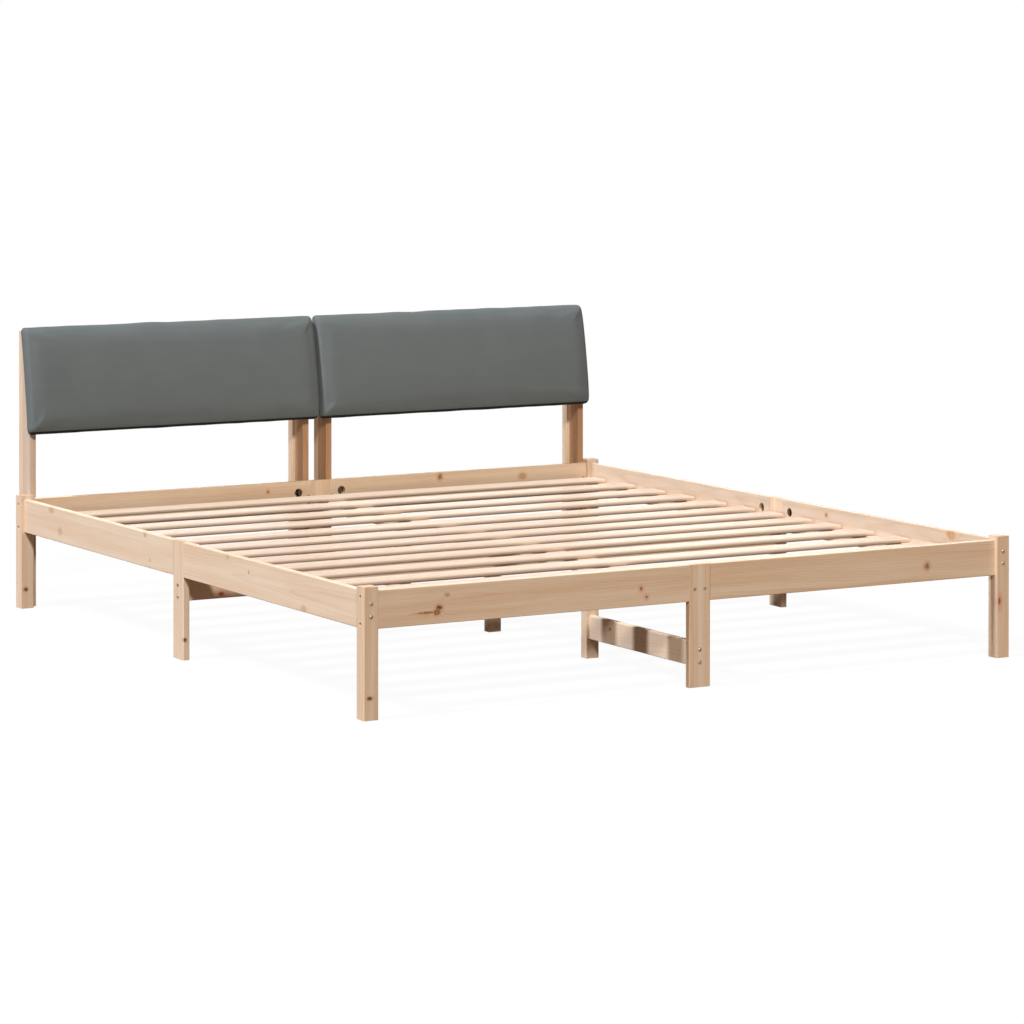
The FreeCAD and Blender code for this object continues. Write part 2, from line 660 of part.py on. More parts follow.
def cushion_section(place, from_end, crown_share):
    """Closed outline of the cushion across its width, from lines and arcs."""
    back = -value("panel_thick") - value("cushion_gap")
    crown = value("cushion_crown") * crown_share
    edge_front = -value("panel_thick") - value("cushion_thick") + value("cushion_crown")
    edge_front += quarter_round(value("cushion_round"), from_end)
    half_high = value("pad_height") / 2 - quarter_round(value("pad_corner"), from_end)
    front_round = min(value("cushion_round"), (back - edge_front) * FRONT_ROUND_SHARE)
    back_round = value("cushion_back_round")
    lean = front_round * (1 - math.sqrt(0.5))
    tuck = back_round * (1 - math.sqrt(0.5))

    def point(depth, height):
        return Vector(place, depth, height)

    low, high = -half_high, half_high
    edges = [
        Part.LineSegment(point(back, high - back_round), point(back, low + back_round)),
        Part.Arc(point(back, low + back_round), point(back - tuck, low + tuck),
                 point(back - back_round, low)),
        Part.LineSegment(point(back - back_round, low), point(edge_front + front_round, low)),
        Part.Arc(point(edge_front + front_round, low), point(edge_front + lean, low + lean),
                 point(edge_front, low + front_round)),
        Part.Arc(point(edge_front, low + front_round), point(edge_front - crown, 0),
                 point(edge_front, high - front_round)),
        Part.Arc(point(edge_front, high - front_round), point(edge_front + lean, high - lean),
                 point(edge_front + front_round, high)),
        Part.LineSegment(point(edge_front + front_round, high), point(back - back_round, high)),
        Part.Arc(point(back - back_round, high), point(back - tuck, high - tuck),
                 point(back, high - back_round)),
    ]
    return Part.Wire([edge.toShape() for edge in edges])


def add_cushion(side, panel):
    """Foam and cover in front of the panel: rounded sides drawn in, and a low crown."""
    wide = value("pad_wide")
    left_end = -wide / 2
    distances = [share * value("pad_corner") for share in ROUND_SHARES]
    sections = [(left_end + distance, distance, END_CROWN_SHARE) for distance in distances]
    sections += [(left_end + place * wide, value("pad_corner"), share)
                 for place, share in CROWN_SHARES]
    sections += [(-left_end - distance, distance, END_CROWN_SHARE)
                 for distance in reversed(distances)]
    cushion = doc.addObject("Part::Feature", f"cushion_{SIDE_NAMES[side]}")
    cushion.Shape = Part.makeLoft([cushion_section(*section) for section in sections],
                                  True, True)
    cushion.Placement = panel.Placement
    return cushion


for side in (LEFT, RIGHT):
    back_panel = add_back_panel(side)
    doc.recompute()
    add_cushion(side, back_panel)


# Fasteners. Each kind is one group of separate solids. A fastener is turned about Z with its tip
# down, and then laid with its tip along a direction.

def turned(outline, angle=360):
    """Solid of revolution from the points (radius, height) of its outline, from top to tip."""
    points = [Vector(radius, 0, height) for radius, height in outline]
    face = Part.Face(Part.makePolygon(points + [points[0]]))
    return face.revolve(Vector(0, 0, 0), Vector(0, 0, 1), angle)


def laid(shape, position, direction):
    """A copy of the fastener at a position, with its tip along the direction."""
    copy = shape.copy()
    turn = FreeCAD.Rotation(Vector(0, 0, -1), Vector(*direction))
    copy.Placement = FreeCAD.Placement(Vector(*position), turn)
    return copy


def add_group(label, solids):
    """One node of separate, identical solids."""
    group = doc.addObject("Part::Feature", label)
    group.Shape = Part.makeCompound(solids)


def line_of(end):
    """Place along Y of the foot rail or head rail."""
    return value("foot_line") if end == FOOT else value("head_line")


def bolt_shape():
    """Bolt with a button head. Its seat is at height 0."""
    return turned([(0, value("bolt_head_height")),
                   (value("bolt_head_top_radius"), value("bolt_head_height")),
                   (value("bolt_head_radius"), 0), (value("bolt_radius"), 0),
                   (value("bolt_radius"), -value("bolt_length")), (0, -value("bolt_length"))])


def corner_bolts():
    """Two bolts through each outer face of the corner legs."""
    for side in (LEFT, RIGHT):
        for end in (FOOT, HEAD):
            for level in ("side_bolt_upper", "side_bolt_lower"):
                seat = side * (value("half_width") - value("bolt_sink"))
                yield (seat, line_of(end), value(level)), (-side, 0, 0)
            for level in ("end_bolt_upper", "end_bolt_lower"):
                seat = line_of(end) + end * value("leg_side") / 2
                yield (side * value("side_line"), seat, value(level)), (0, -end, 0)


def leg_bolts():
    """Two bolts through each middle leg into the end of its brace or crossbeam."""
    reach = value("rail_thick") / 2
    for up in (0, value("joint_bolt_step")):
        for end in (FOOT, HEAD):
            height = value("brace_under") + value("joint_bolt_edge") + up
            yield (0, line_of(end) + end * reach, height), (0, -end, 0)
        for side in (LEFT, RIGHT):
            height = value("crossbeam_under") + value("joint_bolt_edge") + up
            yield (side * (value("side_line") + reach), value("bed_middle"), height), (-side, 0, 0)


def headboard_bolts():
    """Two bolts through the head rail into each board."""
    for side in (LEFT, RIGHT):
        for line in ("outer_board_line", "inner_board_line"):
            for level in ("board_bolt_upper", "board_bolt_lower"):
                yield (side * value(line), value("bed_head"), value(level)), (0, 1, 0)


def beam_screws():
    """Two screws through each centre leg into the beam."""
    for side in (LEFT, RIGHT):
        for end in (FOOT, HEAD):
            face = line_of(end) + end * value("rail_thick") / 2
            height = value("beam_screw_height")
            yield (side * value("beam_screw_aside"), face, height), (0, -end, 0)


def panel_screws():
    """A screw from the back through each upright and its board into the panel."""
    for side in (LEFT, RIGHT):
        for line in ("outer_board_line", "inner_board_line"):
            height = value("panel_screw_height")
            yield (side * value(line), value("upright_back"), height), (0, -1, 0)


def screw_shape(length):
    """Screw with a flat head. The head's top is at height 0."""
    head, under = value("screw_head_radius"), -value("screw_head_height")
    radius = value("screw_radius")
    return turned([(0, 0), (head, 0), (head, under), (radius, under), (radius, -length),
                   (0, -length)])


def stud_joints():
    """Middle of each stud joint, the way the stud runs, and the way its nuts are pushed in."""
    level = value("stud_height")
    joints = [((0, line_of(end), level), (1, 0, 0), (0, end, 0)) for end in (FOOT, HEAD)]
    joints += [((side * value("side_line"), value("bed_middle"), level), (0, 1, 0), (side, 0, 0))
               for side in (LEFT, RIGHT)]
    joints.append(((0, value("bed_middle"), value("cross_stud_height")), (1, 0, 0), (0, -1, 0)))
    return joints


def rail_studs():
    """A stud right through each middle leg, and one through the middle post."""
    radius, half = value("stud_radius"), value("stud_half")
    stud = turned([(0, half), (radius, half), (radius, -half), (0, -half)])
    for middle, run, _ in stud_joints():
        yield laid(stud, middle, run)


def barrel_nuts():
    """Half-round nuts at the bottom of their holes. The round side bears towards the joint."""
    radius, length = value("nut_radius"), value("nut_length")
    top = value("rail_thick") / 2 - (value("nut_hole_deep") - length)
    nut = turned([(0, top), (radius, top), (radius, top - length), (0, top - length)], 180)
    bore = Part.makeCylinder(value("stud_hole"), 4 * radius, Vector(0, -2 * radius, 0),
                             Vector(0, 1, 0))
    nut = nut.cut(bore)
    for middle, run, push in stud_joints():
        for way in (-1, 1):
            outward = Vector(*run) * way
            turn = FreeCAD.Rotation(Vector(), -outward, -Vector(*push), "ZYX")
            copy = nut.copy()
            copy.Placement = FreeCAD.Placement(Vector(*middle) + outward * value("nut_place"),
                                               turn)
            yield copy


def all_laid(shape, places):
    """Copies of one fastener at all its places."""
    return [laid(shape, position, direction) for position, direction in places]


add_group("corner_bolts", all_laid(bolt_shape(), corner_bolts()))
add_group("leg_bolts", all_laid(bolt_shape(), leg_bolts()))
add_group("headboard_bolts", all_laid(bolt_shape(), headboard_bolts()))
add_group("wood_screws", all_laid(screw_shape(value("beam_screw_length")), beam_screws())
          + all_laid(screw_shape(value("panel_screw_length")), panel_screws()))
add_group("rail_studs", list(rail_studs()))
add_group("barrel_nuts", list(barrel_nuts()))


# Checks of the whole document, and the files.

doc.recompute()
for item in doc.Objects:
    if "Invalid" in item.State or "Error" in item.State:
        raise RuntimeError(f"{item.Name} failed: {item.State}")
    if item.TypeId == "PartDesign::Pocket":
        if not item.Shape.Volume < item.BaseFeature.Shape.Volume:
            raise RuntimeError(f"{item.Name} cuts nothing")

pieces = [item for item in doc.Objects if item.TypeId in ("PartDesign::Body", "Part::Feature")]
for piece in pieces:
    if piece.Shape.isNull() or not piece.Shape.isValid():
        raise RuntimeError(f"{piece.Label} has no valid shape")

os.makedirs("parts", exist_ok=True)
for piece in pieces:
    piece.Shape.exportStep(f"parts/{piece.Label}.step")
print(len(pieces), "pieces")
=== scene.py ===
import math
import random

import bmesh
import bpy
from mathutils import Matrix, Vector, noise


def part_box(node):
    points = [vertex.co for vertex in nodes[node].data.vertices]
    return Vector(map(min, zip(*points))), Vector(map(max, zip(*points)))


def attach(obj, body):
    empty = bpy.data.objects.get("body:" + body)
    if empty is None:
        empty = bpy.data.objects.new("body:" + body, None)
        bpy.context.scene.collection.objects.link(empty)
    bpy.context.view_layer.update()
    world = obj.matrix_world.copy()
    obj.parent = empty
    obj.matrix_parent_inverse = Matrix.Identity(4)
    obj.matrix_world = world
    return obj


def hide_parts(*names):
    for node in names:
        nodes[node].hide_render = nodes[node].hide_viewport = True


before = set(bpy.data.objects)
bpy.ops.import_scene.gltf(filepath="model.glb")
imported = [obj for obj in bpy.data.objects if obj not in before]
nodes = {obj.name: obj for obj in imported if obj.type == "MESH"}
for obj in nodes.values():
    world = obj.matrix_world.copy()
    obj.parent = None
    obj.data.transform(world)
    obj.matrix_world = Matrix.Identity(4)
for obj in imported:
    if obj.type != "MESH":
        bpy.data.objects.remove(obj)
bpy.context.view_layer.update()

mm = 0.001


# Corner legs. Square pine stock, planed on four sides, eased along its edges and sanded. The wood
# is left pale under a thin clear matt lacquer, so the eye sees growth rings, fibre and a few
# knots.

def linear(code):
    """Linear colour, with alpha, of an sRGB hex value."""
    parts = [int(code[place:place + 2], 16) / 255 for place in (0, 2, 4)]
    return [((part + 0.055) / 1.055) ** 2.4 if part > 0.04045 else part / 12.92
            for part in parts] + [1.0]


def add(tree, kind, inputs, **settings):
    """Adds a node with its settings. Inputs are sockets with a value or what is linked to them."""
    made = tree.nodes.new("ShaderNode" + kind)
    for name, setting in settings.items():
        setattr(made, name, setting)
    for socket, given in inputs.items():
        if isinstance(given, bpy.types.NodeSocket):
            tree.links.new(given, made.inputs[socket])
        else:
            made.inputs[socket].default_value = given
    return made


def blank_material(name):
    """A new material and its node tree, which is still empty."""
    material = bpy.data.materials.new(name)
    material.use_nodes = True
    material.node_tree.nodes.clear()
    return material, material.node_tree


def ramp_stops(ramp, stops):
    """Gives a colour ramp its stops, as pairs of a place and a colour."""
    elements = ramp.color_ramp.elements
    stops = list(stops)
    while len(elements) < len(stops):
        elements.new(1.0)
    for element, (place, colour) in zip(elements, stops):
        element.position = place
        element.color = colour if isinstance(colour, list) else [colour] * 3 + [1.0]


# How the wood is turned, so that its grain runs along X of the pattern.
grain_turns = {"X": (0, 0, 0), "Y": (0, 0, -math.pi / 2), "Z": (0, math.pi / 2, 0)}

# Knots: colours from the core to the bark, the stain in the wood round it, and how far that goes.
knot_kinds = {"dark": ("3e241a", "6e432e", "80513a", "5c3826", "c08f69", 2.5),
              "ringed": ("bd865f", "b67e58", "75462e", "55301f", "c4946e", 2.3),
              "red": ("6b3a2a", "96593f", "a86b52", "a0664e", "d8a28b", 4.2),
              "brown": ("8f6142", "a57653", "a3724e", "9f6f4d", "cba27c", 2.8),
              "pale": ("c49b78", "cba480", "c39a75", "bd9470", "d6b592", 2.2),
              "faint": ("d2b08f", "d6b797", "d1b08e", "ceab89", "ddc0a2", 2.2)}


def knot_gap(tree, place, wood, run, knots):
    """Distance to the nearest of some knots, counted in radii of the knot.

    A knot is its middle in millimetres, the axis that the branch ran through the board, the
    radii across and along the grain, and its kind. It reaches 1.8 radii into the wood.
    """
    deep, ragged_by = 1.8, 0.7
    nearest = None
    for spot, through, across, along, _ in knots:
        half = {run: along, through: deep * across}
        scales = [1 / half.get(axis, across) for axis in "XYZ"]
        middle = [-part * scale for part, scale in zip(spot, scales)]
        near = add(tree, "Mapping", {"Vector": place.outputs["Object"], "Location": middle,
                                     "Scale": [scale / mm for scale in scales]})
        gap = add(tree, "VectorMath", {0: near.outputs[0]}, operation="LENGTH").outputs["Value"]
        if nearest is None:
            nearest = gap
        else:
            nearest = add(tree, "Math", {0: nearest, 1: gap}, operation="MINIMUM").outputs[0]
    ragged = add(tree, "TexNoise", {"Vector": wood.outputs[0], "Scale": 0.25, "Detail": 4.0})
    uneven = add(tree, "Math", {0: ragged.outputs[0], 1: 2 * ragged_by, 2: nearest},
                 operation="MULTIPLY_ADD")
    return add(tree, "Math", {0: uneven.outputs[0], 1: ragged_by},
               operation="SUBTRACT").outputs[0]


# Pale and darker earlywood, then pale and darker latewood, of three cuts of pine.
pine_cuts = {"whitewood": ("ddccbc", "d3bda7", "cfb69e", "b89a7d"),
             "sapwood": ("ecdbc6", "e0c4a5", "dcbd9c", "c69d79"),
             # The heartwood is drawn darker partly as painted shade, for the boards that the pads
             # shade.
             "heartwood_with_painted_shade": ("c8a482", "ba906b", "b0865f", "99694a")}


def pine(name, run, tone=0.3, figure=0.5, knots=(), cut="sapwood"):
    """Solid pine for one node: rings round a pith beside the piece, drawn out along its run.

    The tone goes from the paler to the darker colours of the cut, and the figure says how clearly
    the rings show.
    """
    low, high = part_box(name)
    centre = (low + high) / 2
    chance = random.Random(name)
    material, tree = blank_material("pine_clear_matt_lacquer_" + name)
    place = add(tree, "TexCoord", {})
    # The pith lies 25 to 70 mm beside the piece, so faces show both straight and arched grain.
    angle = chance.uniform(0, 2 * math.pi)
    away = chance.uniform(25, 70)
    pith = Vector((chance.uniform(-300, 300), away * math.cos(angle), away * math.sin(angle)))
    about_y, about_z = grain_turns[run][1:]
    turn = Matrix.Rotation(about_y, 3, "Y") @ Matrix.Rotation(about_z, 3, "Z")
    start = pith - turn @ (centre / mm)
    wood = add(tree, "Mapping", {"Vector": place.outputs["Object"], "Location": start,
                                 "Rotation": grain_turns[run], "Scale": (1 / mm,) * 3})
    # A trunk isn't straight: the rings wander by a few millimetres over half a metre.
    wander = add(tree, "Mapping", {"Vector": wood.outputs[0], "Scale": (0.0021, 0.012, 0.012)})
    bends = add(tree, "TexNoise", {"Vector": wander.outputs[0], "Scale": 1.0, "Detail": 2.0})
    bent = add(tree, "VectorMath", {0: bends.outputs["Color"], 1: (0.0, 22.0, 22.0),
                                    2: wood.outputs[0]}, operation="MULTIPLY_ADD")
    across = add(tree, "VectorMath", {0: bent.outputs[0], 1: (0.0, 1.0, 1.0)},
                 operation="MULTIPLY")
    radius = add(tree, "VectorMath", {0: across.outputs[0]}, operation="LENGTH")
    split = add(tree, "SeparateXYZ", {0: wood.outputs[0]})
    tapered = add(tree, "Math", {0: split.outputs[0], 1: chance.uniform(0.008, 0.02),
                                 2: radius.outputs["Value"]}, operation="MULTIPLY_ADD")
    grown = tapered.outputs[0]
    # Knots are branches that run into the board. The rings flow round them, up to 9 mm aside.
    gaps = {kind: knot_gap(tree, place, wood, run, [knot for knot in knots if knot[4] == kind])
            for kind in sorted({knot[4] for knot in knots})}
    for gap in gaps.values():
        squared = add(tree, "Math", {0: gap, 1: gap}, operation="MULTIPLY")
        faded = add(tree, "Math", {0: squared.outputs[0], 1: -0.22}, operation="MULTIPLY")
        swirl = add(tree, "Math", {0: faded.outputs[0]}, operation="EXPONENT")
        grown = add(tree, "Math", {0: swirl.outputs[0], 1: 9.0, 2: grown},
                    operation="MULTIPLY_ADD").outputs[0]
    # A ring each 4 to 7 mm: wide pale earlywood that darkens to a narrow line of latewood.
    ring = add(tree, "Math", {0: grown, 1: chance.uniform(4.0, 7.0)}, operation="DIVIDE")
    within = add(tree, "Math", {0: ring.outputs[0]}, operation="FRACT")
    year = add(tree, "Math", {0: ring.outputs[0]}, operation="FLOOR")
    weather = add(tree, "TexWhiteNoise", {"W": year.outputs[0]}, noise_dimensions="1D")
    density = add(tree, "ValToRGB", {0: within.outputs[0]})
    ramp_stops(density, ((0.0, 0.12), (0.3, 0.0), (0.72, 0.35), (0.9, 1.0), (1.0, 0.12)))
    strength = add(tree, "MapRange", {0: weather.outputs["Value"], 3: 0.1 * figure, 4: figure})
    late = add(tree, "Math", {0: density.outputs[0], 1: strength.outputs[0]}, operation="MULTIPLY")
    # Fibre: 0.6 mm streaks, 60 mm long, drawn twice as coarse as real tracheids so that they show.
    stretched = add(tree, "Mapping", {"Vector": wood.outputs[0], "Scale": (0.016, 0.85, 0.85)})
    fibre = add(tree, "TexNoise", {"Vector": stretched.outputs[0], "Scale": 1.0, "Detail": 3.0,
                                   "Roughness": 0.6})
    # Broad bands of the cut's paler and darker colours, 20 to 40 mm wide.
    bands = add(tree, "Mapping", {"Vector": bent.outputs[0], "Scale": (0.0016, 0.045, 0.045)})
    cloudy = add(tree, "TexNoise", {"Vector": bands.outputs[0], "Scale": 1.0, "Detail": 2.0})
    share = add(tree, "MapRange", {0: cloudy.outputs[0], 1: 0.32, 2: 0.68, 3: max(0, tone - 0.4),
                                   4: min(1, tone + 0.4)})
    hues = [linear(code) for code in pine_cuts[cut]]
    early = add(tree, "Mix", {0: share.outputs[0], 6: hues[0], 7: hues[1]}, data_type="RGBA")
    dark = add(tree, "Mix", {0: share.outputs[0], 6: hues[2], 7: hues[3]}, data_type="RGBA")
    ringed = add(tree, "Mix", {0: late.outputs[0], 6: early.outputs[2], 7: dark.outputs[2]},
                 data_type="RGBA")
    shade = add(tree, "MapRange", {0: fibre.outputs[0], 1: 0.25, 2: 0.75, 3: 0.93, 4: 1.05})
    colour = add(tree, "VectorMath", {0: ringed.outputs[2], 1: shade.outputs[0]},
                 operation="MULTIPLY").outputs[0]
    for kind, gap in gaps.items():
        *inner, halo = [linear(code) for code in knot_kinds[kind][:5]]
        rings = add(tree, "ValToRGB", {0: gap})
        ramp_stops(rings, zip((0.0, 0.35, 0.7, 1.0), inner))
        stain = add(tree, "MapRange", {0: gap, 1: 0.7, 2: knot_kinds[kind][5], 3: 0.65, 4: 0.0},
                    interpolation_type="SMOOTHERSTEP")
        colour = add(tree, "Mix", {0: stain.outputs[0], 6: colour, 7: halo},
                     data_type="RGBA").outputs[2]
        inside = add(tree, "MapRange", {0: gap, 1: 0.6, 2: 1.3, 3: 0.95, 4: 0.0},
                     interpolation_type="SMOOTHSTEP")
        colour = add(tree, "Mix", {0: inside.outputs[0], 6: colour, 7: rings.outputs[0]},
                     data_type="RGBA").outputs[2]
    # End grain drinks more lacquer, and is darker.
    along = [1.0 if axis == run else 0.0 for axis in "XYZ"]
    facing = add(tree, "VectorMath", {0: place.outputs["Normal"], 1: along},
                 operation="DOT_PRODUCT")
    square = add(tree, "Math", {0: facing.outputs["Value"], 1: facing.outputs["Value"]},
                 operation="MULTIPLY")
    ends = add(tree, "MapRange", {0: square.outputs[0], 1: 0.5, 2: 0.9, 3: 0.0, 4: 0.6})
    colour = add(tree, "Mix", {0: ends.outputs[0], 6: colour, 7: linear("c79a6e")},
                 data_type="RGBA").outputs[2]
    sheen = add(tree, "MapRange", {0: late.outputs[0], 3: 0.6, 4: 0.48})
    height = add(tree, "Math", {0: fibre.outputs[0], 1: 0.6, 2: late.outputs[0]},
                 operation="MULTIPLY_ADD")
    relief = add(tree, "Bump", {"Strength": 0.5, "Distance": 0.12 * mm,
                                "Height": height.outputs[0]})
    surface = add(tree, "BsdfPrincipled", {"Base Color": colour, "Roughness": sheen.outputs[0],
                                           "IOR": 1.5, "Specular IOR Level": 0.25,
                                           "Normal": relief.outputs[0]})
    add(tree, "OutputMaterial", {"Surface": surface.outputs[0]})
    nodes[name].data.materials.clear()
    nodes[name].data.materials.append(material)
    for face in nodes[name].data.polygons:
        face.material_index = 0


pine("leg_foot_left", "Z", 0.5, 0.5, [((-913, -1060, 51.7), "Y", 6.5, 4, "dark")])
pine("leg_foot_right", "Z", 0.55, 0.5, [((897.7, -1060, 145), "Y", 4, 10, "red")])
pine("leg_head_left", "Z", 0.35, 0.5, [((-914.5, 958, 52.6), "Y", 5.5, 5, "dark")])
pine("leg_head_right", "Z", 0.45)


# Middle and centre legs. Pine boards as thick as the rails that stand between the rail segments at
# the middle of each side. A stud goes through each from rail to rail, and two bolts hold the brace
# or crossbeam inside it.

pine("mid_leg_left", "Z", 0.4, 0.4, [((-913, -62, 52), "Y", 4, 4.5, "dark")])
pine("mid_leg_right", "Z", 0.4)
pine("centre_leg_foot", "Z", 0.45)
pine("centre_leg_head", "Z", 0.7, 0.4)


# Rails. Planed pine boards, 90 mm high, with each side of the bed in two segments. Bolts hold them
# to the corner legs, and studs with barrel nuts to the leg between them.

pine("rail_foot_left", "X", 0.6, 0.6, [
    ((-724, -1050, 247.5), "Y", 5.5, 7.5, "dark"), ((-730, -1050, 236.7), "Y", 6, 7, "ringed"),
    ((-757, -1050, 238), "Y", 2.5, 22, "brown"), ((-168, -1050, 252), "Y", 4, 3.5, "red"),
    ((-153, -1050, 231), "Y", 3.5, 3, "red"), ((-702, -1050, 275.6), "Y", 4, 6, "pale")])
pine("rail_foot_right", "X", 0.6, 0.6, [((678, -1050, 248), "Y", 8, 7, "brown")])
pine("rail_head_left", "X", 0.6, 0.5, [((-166.6, 968, 275.7), "Y", 4, 4, "brown")])
pine("rail_head_right", "X", 0.65, 0.5, [((392.8, 968, 287), "Y", 8, 7, "brown"),
                                         ((671, 968, 273), "Y", 9, 12, "pale")])
pine("rail_left_foot", "Y", 0.3, 0.4, [
    ((-918, -318, 293), "X", 5, 8, "faint"), ((-918, -437, 269), "X", 4, 4, "pale"),
    ((-918, -733, 217), "X", 8, 12, "faint")])
pine("rail_left_head", "Y", 0.2, 0.4, [
    ((-918, 773.5, 292), "X", 8, 14, "faint"), ((-918, 714.5, 240.7), "X", 9, 12, "faint"),
    ((-918, 168, 293), "X", 5, 8, "faint"), ((-918, 137.5, 231.5), "X", 4, 5, "faint")])
pine("rail_right_foot", "Y", 0.5, 0.4, [((900, -279.5, 279), "X", 5, 5, "brown"),
                                         ((900, -850, 289), "X", 12, 16, "pale"),
                                         ((900, -838, 291), "X", 5, 7, "brown")], "whitewood")
pine("rail_right_head", "Y", 0.5, 0.4, cut="whitewood")


# Ledgers. Square pine stock, planed, glued along the inside of the side rails with one length to a
# segment. They carry the ends of the slats.

for name in ("ledger_left_foot", "ledger_left_head", "ledger_right_foot", "ledger_right_head"):
    pine(name, "Y", 0.35)


# Centre beam in two lengths that meet over the middle post, three posts under it, and the boards
# that brace the posts. All are planed pine. Braces and crossbeams are bolted to the legs, and a stud
# ties the two crossbeams to the middle post.

for name in ("beam_foot", "beam_head"):
    pine(name, "Y", 0.3, cut="whitewood")
for name in ("post_foot", "post_middle", "post_head"):
    pine(name, "Z", 0.2)
pine("crossbeam_left", "X", 0.3, 0.6, [((-801, -41, 158), "Y", 6, 9, "red")])
pine("crossbeam_right", "X", 0.5)
pine("brace_foot", "Y", 0.05, 0.6, [((-9, -645, 88), "X", 3.5, 5, "brown")])
pine("brace_head", "Y", 0.5)


# Slats. Thirteen planed pine strips with well rounded edges. They lie loose across the ledgers and
# the beam, a little unevenly spaced.

for number in range(1, 14):
    pine(f"slat_{number:02d}", "X", 0.3, 0.4, cut="whitewood")


# Headboard posts. A tapered pine board in front carries the pad at its lean, and a square upright
# is glued behind it. The boards are bolted to the head rail. All but the outer left one are of
# darker heartwood, chosen darker as painted shade for the sides that the pads shade.

for side in ("left", "right"):
    for post in ("outer", "inner"):
        # Boards beside and under the pads get the darker heartwood as painted shade.
        cut = "whitewood" if (side, post) == ("left", "outer") else "heartwood_with_painted_shade"
        pine(f"board_{side}_{post}", "Z", 0.6, cut=cut)
        pine(f"upright_{side}_{post}", "Z", 0.5)


# Pads. A thin board with foam on its front, in a cover of grey woven cloth that is drawn taut
# round the edges to the back and stapled there. A black dust sheet closes the back.

lean = math.atan2(46, 277)
pad_wide, pad_high = 897 * mm, 294.8 * mm
# Half the gap between the pads, and how far they hang below the foot of the boards' sloping faces.
half_gap, pad_drop = 3 * mm, 5 * mm
pad_foot = Vector((0, 986 * mm, 480 * mm))


def pad_place(side):
    """Where a pad lies: its origin is the middle of its back, Z runs up the slope."""
    up = pad_high / 2 - pad_drop
    middle = pad_foot + Vector((side * (pad_wide / 2 + half_gap), up * math.sin(lean),
                                up * math.cos(lean)))
    return Matrix.Translation(middle) @ Matrix.Rotation(-lean, 4, "X")


def piece_of(name, shape):
    """A new piece at the origin, made from a bmesh, which is freed."""
    mesh = bpy.data.meshes.new(name)
    shape.to_mesh(mesh)
    shape.free()
    piece = bpy.data.objects.new(name, mesh)
    bpy.context.scene.collection.objects.link(piece)
    return piece


def swell(cover):
    """Blows the cover up by a cloth simulation that holds its back, by 3 mm at most."""
    shape = cover.data
    rest = [vertex.co.copy() for vertex in shape.vertices]
    held = cover.vertex_groups.new(name="held")
    back = max(point.y for point in rest)
    held.add([index for index, point in enumerate(rest) if point.y > back - 5 * mm], 1.0,
             "REPLACE")
    cloth = cover.modifiers.new("cloth", "CLOTH")
    cloth.settings.quality = 5
    cloth.settings.mass = 0.3
    cloth.settings.tension_stiffness = 15
    cloth.settings.compression_stiffness = 15
    cloth.settings.bending_stiffness = 0.5
    cloth.settings.use_pressure = True
    cloth.settings.uniform_pressure_force = 4
    cloth.settings.effector_weights.gravity = 0
    cloth.settings.vertex_group_mass = "held"
    last = 20
    cloth.point_cache.frame_start, cloth.point_cache.frame_end = 1, last
    for step in range(1, last + 1):
        bpy.context.scene.frame_set(step)
    swollen = cover.evaluated_get(bpy.context.evaluated_depsgraph_get())
    points = [vertex.co.copy() for vertex in swollen.data.vertices]
    cover.modifiers.clear()
    bpy.context.scene.frame_set(1)
    for vertex, start, end in zip(shape.vertices, rest, points):
        move = end - start
        move.length = min(move.length, 3 * mm)
        vertex.co = start + move


def cloth_cover(name, side):
    """The padded cover, blown up from a slightly thinner block with an even mesh of 5.5 mm."""
    place = pad_place(side)
    shape = bmesh.new()
    for node in ("cushion_" + name, "back_panel_" + name):
        shape.from_mesh(nodes[node].data)
    bmesh.ops.remove_doubles(shape, verts=shape.verts, dist=0.02 * mm)
    bmesh.ops.transform(shape, matrix=place.inverted(), verts=shape.verts)
    bmesh.ops.scale(shape, vec=(1.002, 0.94, 1.028), verts=shape.verts)
    bmesh.ops.translate(shape, vec=(0, -0.8 * mm, 0), verts=shape.verts)
    cover = piece_of("pad_cover_" + name, shape)
    remesh = cover.modifiers.new("even", "REMESH")
    remesh.mode = "VOXEL"
    remesh.voxel_size = 5.5 * mm
    bpy.context.view_layer.update()
    even = cover.evaluated_get(bpy.context.evaluated_depsgraph_get())
    mesh = bpy.data.meshes.new_from_object(even)
    cover.modifiers.clear()
    cover.data = mesh
    swell(cover)
    smooth = bmesh.new()
    smooth.from_mesh(cover.data)
    bmesh.ops.smooth_vert(smooth, verts=smooth.verts, factor=0.4, use_axis_x=True,
                          use_axis_y=True, use_axis_z=True)
    # The pad is 5 mm thicker at half its height, and the cover pulls it round along its upper and
    # lower edges. The wadding under the cloth is uneven, with slow swellings of half a millimetre,
    # 90 mm apart, and its edges wander by a millimetre. All of it fades out towards the back.
    for vertex in smooth.verts:
        free = min(max(-vertex.co.y / (20 * mm), 0), 1)
        high = 2 * vertex.co.z / pad_high
        round_over = 10 if high > 0 else 7
        vertex.co.y += free * mm * (4 * high ** 2 + round_over * high ** 8 - 5)
        vertex.co.y -= free * 0.6 * mm * noise.noise(vertex.co * 11 + Vector((side * 7, 0, 0)))
        edge_place = Vector((vertex.co.x * 16, side, vertex.co.z * 3))
        vertex.co.z += free * 1.6 * mm * noise.noise(edge_place)
    bmesh.ops.transform(smooth, matrix=place, verts=smooth.verts)
    smooth.to_mesh(cover.data)
    smooth.free()
    finer = cover.modifiers.new("finer", "SUBSURF")
    finer.levels = finer.render_levels = 1
    for face in cover.data.polygons:
        face.use_smooth = True
    return cover


# Woven polyester cloth: matt, with a soft sheen at the edges where the nap is seen side on.
grey_cloth, tree = blank_material("polyester_cloth_woven_grey")
place = add(tree, "TexCoord", {})
woven = add(tree, "Mapping", {"Vector": place.outputs["Object"], "Rotation": (lean, 0, 0),
                              "Scale": (1 / mm,) * 3})
